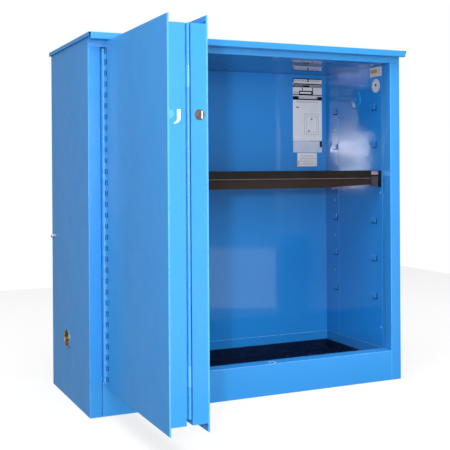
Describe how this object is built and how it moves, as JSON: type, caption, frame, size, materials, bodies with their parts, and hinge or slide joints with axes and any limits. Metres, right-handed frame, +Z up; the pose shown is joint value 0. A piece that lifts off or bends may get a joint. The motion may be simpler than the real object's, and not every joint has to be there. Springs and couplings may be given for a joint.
{
  "type": "flammable storage cabinet",
  "caption": "Double-walled steel cabinet for flammable liquids with a shelf, spill trays, screened vents and a two-leaf folding door that stands open.",
  "frame": {"origin": "centre of the cabinet's footprint, on the floor, under the bottom panel", "axes": "+Z up, front of the cabinet faces -Y, +Y towards the back panel, +X to the right seen from the front; the door stands open at the left, out along -Y"},
  "size_m": [1.104, 0.9924, 1.118],
  "materials": {
    "blue_shell": "glossy bright blue powder coat with a fine orange peel",
    "blue_liner": "the same blue powder coat on the inner shell",
    "black_plastic": "black polyethylene, fine grain",
    "black_paint": "black textured powder coat",
    "brass": "turned brass, slightly tarnished",
    "zinc_steel": "zinc-plated steel",
    "nickel": "bright nickel plate",
    "nylon": "natural nylon"
  },
  "bodies": {
    "cabinet": {"side_panel_left": "blue_shell", "side_panel_right": "blue_shell", "back_panel": "blue_shell", "bottom_panel": "blue_shell", "top_cap": "blue_shell", "header_rail": "blue_shell", "sill_rail": "blue_shell", "stile_left": "blue_shell", "stile_right": "blue_shell", "liner_left": "blue_liner", "liner_right": "blue_liner", "liner_back": "blue_liner", "liner_ceiling": "blue_liner", "sump_pan": "blue_liner", "vent_boss_low": "blue_shell", "vent_bush_low": "brass", "flame_screen_low": "brass", "vent_cap_low": "blue_shell", "vent_boss_high": "blue_shell", "vent_bush_high": "brass", "flame_screen_high": "brass", "vent_cap_high": "blue_shell", "ground_washer": "zinc_steel", "ground_screw": "zinc_steel", "ground_nut": "zinc_steel", "shelf_clip_left_front": "zinc_steel", "shelf_clip_right_front": "zinc_steel", "shelf_clip_left_rear": "zinc_steel", "shelf_clip_right_rear": "zinc_steel", "shelf": "black_paint", "shelf_tray": "black_plastic", "sump_tray": "black_plastic", "frame_hinge_leaf": "blue_shell", "frame_hinge_pin": "zinc_steel", "guide_track": "zinc_steel"},
    "leaf_a": {"door_hinge_leaf": "blue_shell", "leaf_a_skin": "blue_shell", "leaf_a_pan": "blue_shell", "trigger_striker": "nickel", "fold_hinge_leaf_a": "blue_shell", "fold_hinge_pin": "zinc_steel"},
    "leaf_b": {"fold_hinge_leaf_b": "blue_shell", "leaf_b_skin": "blue_shell", "leaf_b_pan": "blue_shell", "handle_dish": "black_paint", "lock_barrel": "nickel", "paddle_pin": "zinc_steel", "cam_spindle": "zinc_steel", "rod_guide_upper": "nylon", "rod_guide_lower": "nylon", "trigger_bezel": "nickel", "guide_bracket": "zinc_steel", "guide_pin": "zinc_steel"},
    "paddle": {"paddle": "black_paint"},
    "key_plug": {"key_plug": "nickel"},
    "latch_cam": {"latch_cam": "zinc_steel"},
    "rod_upper": {"rod_upper": "zinc_steel"},
    "rod_lower": {"rod_lower": "zinc_steel"},
    "trigger_button": {"trigger_button": "nickel"},
    "guide_roller": {"guide_roller": "nylon"}
  },
  "joints": [
    {"name": "door_swing", "type": "hinge", "parent": "cabinet", "child": "leaf_a", "pos_m": [-0.503, -0.239, 0.5885], "axis": [0, 0, 1], "range_deg": [0, 90]},
    {"name": "door_fold", "type": "hinge", "parent": "leaf_a", "child": "leaf_b", "pos_m": [-0.445, -0.7502, 0.597], "axis": [0, 0, 1], "range_deg": [-180, 0]},
    {"name": "paddle_pull", "type": "hinge", "parent": "leaf_b", "child": "paddle", "pos_m": [-0.3995, -0.6892, 0.8765], "axis": [0, -1, 0], "range_deg": [0, 30], "stiffness_Nm_per_rad": 0.4, "springref_deg": -11.46},
    {"name": "key_turn", "type": "hinge", "parent": "leaf_b", "child": "key_plug", "pos_m": [-0.3995, -0.6892, 0.8955], "axis": [1, 0, 0], "range_deg": [0, 90]},
    {"name": "cam_turn", "type": "hinge", "parent": "leaf_b", "child": "latch_cam", "pos_m": [-0.421, -0.6892, 0.8525], "axis": [1, 0, 0], "range_deg": [0, 60]},
    {"name": "rod_up", "type": "slide", "parent": "leaf_b", "child": "rod_upper", "axis": [0, 0, 1], "range_m": [0, 0.0121]},
    {"name": "rod_down", "type": "slide", "parent": "leaf_b", "child": "rod_lower", "axis": [0, 0, -1], "range_m": [0, 0.0121]},
    {"name": "trigger_push", "type": "slide", "parent": "leaf_b", "child": "trigger_button", "axis": [0, 1, 0], "range_m": [0, 0.004], "stiffness_N_per_m": 150, "springref_m": -0.004},
    {"name": "roller_spin", "type": "hinge", "parent": "leaf_b", "child": "guide_roller", "pos_m": [-0.387, -0.239, 1.1065], "axis": [0, 0, 1], "continuous": true}
  ],
  "couplings": [
    {"joint": "door_fold", "follows": "door_swing", "ratio": -2},
    {"joint": "rod_up", "follows": "rod_down", "ratio": 1},
    {"joint": "cam_turn", "follows": "rod_down", "rad_per_m": 86.5}
  ]
}
